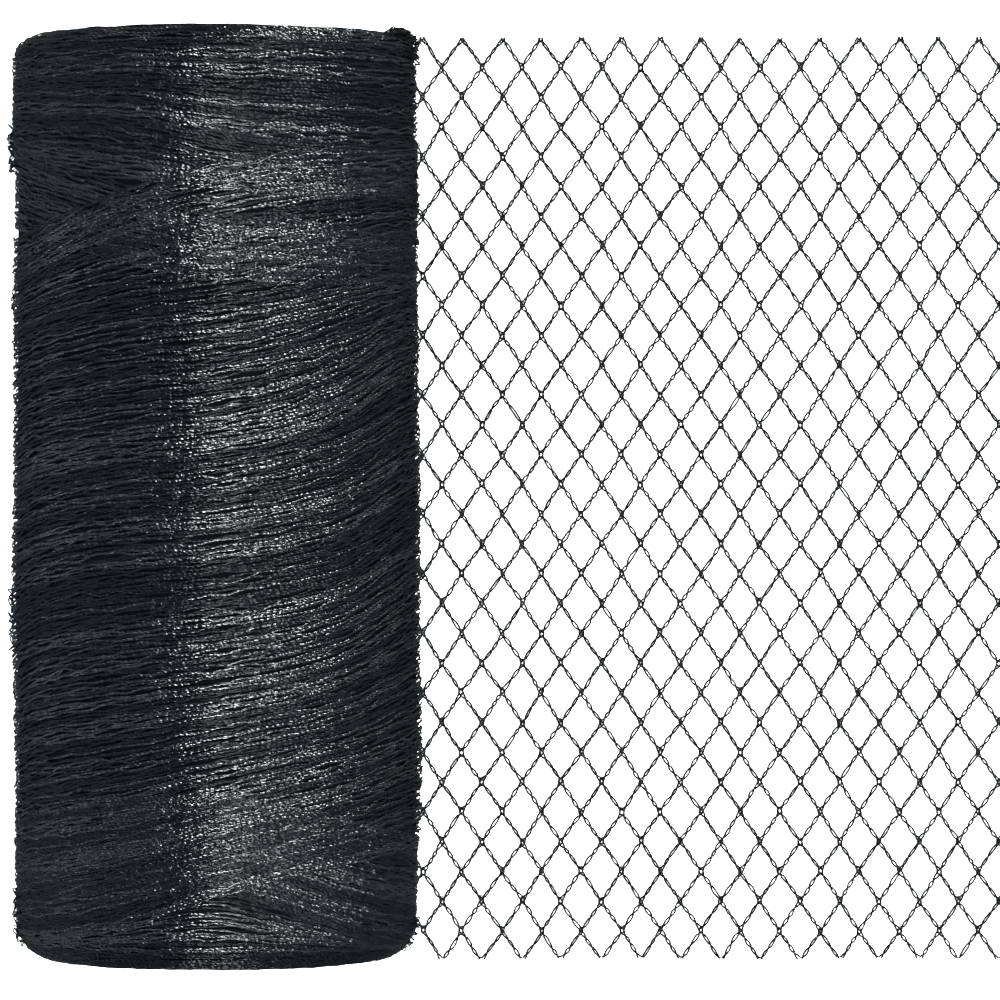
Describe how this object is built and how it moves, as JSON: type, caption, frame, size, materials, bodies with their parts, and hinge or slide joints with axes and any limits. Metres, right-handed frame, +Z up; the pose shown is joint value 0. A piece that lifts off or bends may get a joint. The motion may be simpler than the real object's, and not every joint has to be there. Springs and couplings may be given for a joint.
{
  "type": "bird netting roll",
  "caption": "Thick roll of black diamond-mesh bird netting lying on its side, with the loose end of the net laid out flat beside it.",
  "frame": {"origin": "middle of the flat spot that the roll rests on, level with the underside of the loose end", "axes": "+Y along the roll's axis, +X towards the loose end of the net, +Z up"},
  "size_m": [0.3528, 0.3279, 0.1389],
  "materials": {
    "wound_yarn": "glossy black twisted plastic yarn, in many wound strands",
    "net_yarn": "glossy black twisted plastic yarn, knitted into open diamonds"
  },
  "bodies": {
    "root": {"wound_net": "wound_yarn", "loose_end": "net_yarn"}
  },
  "joints": []
}
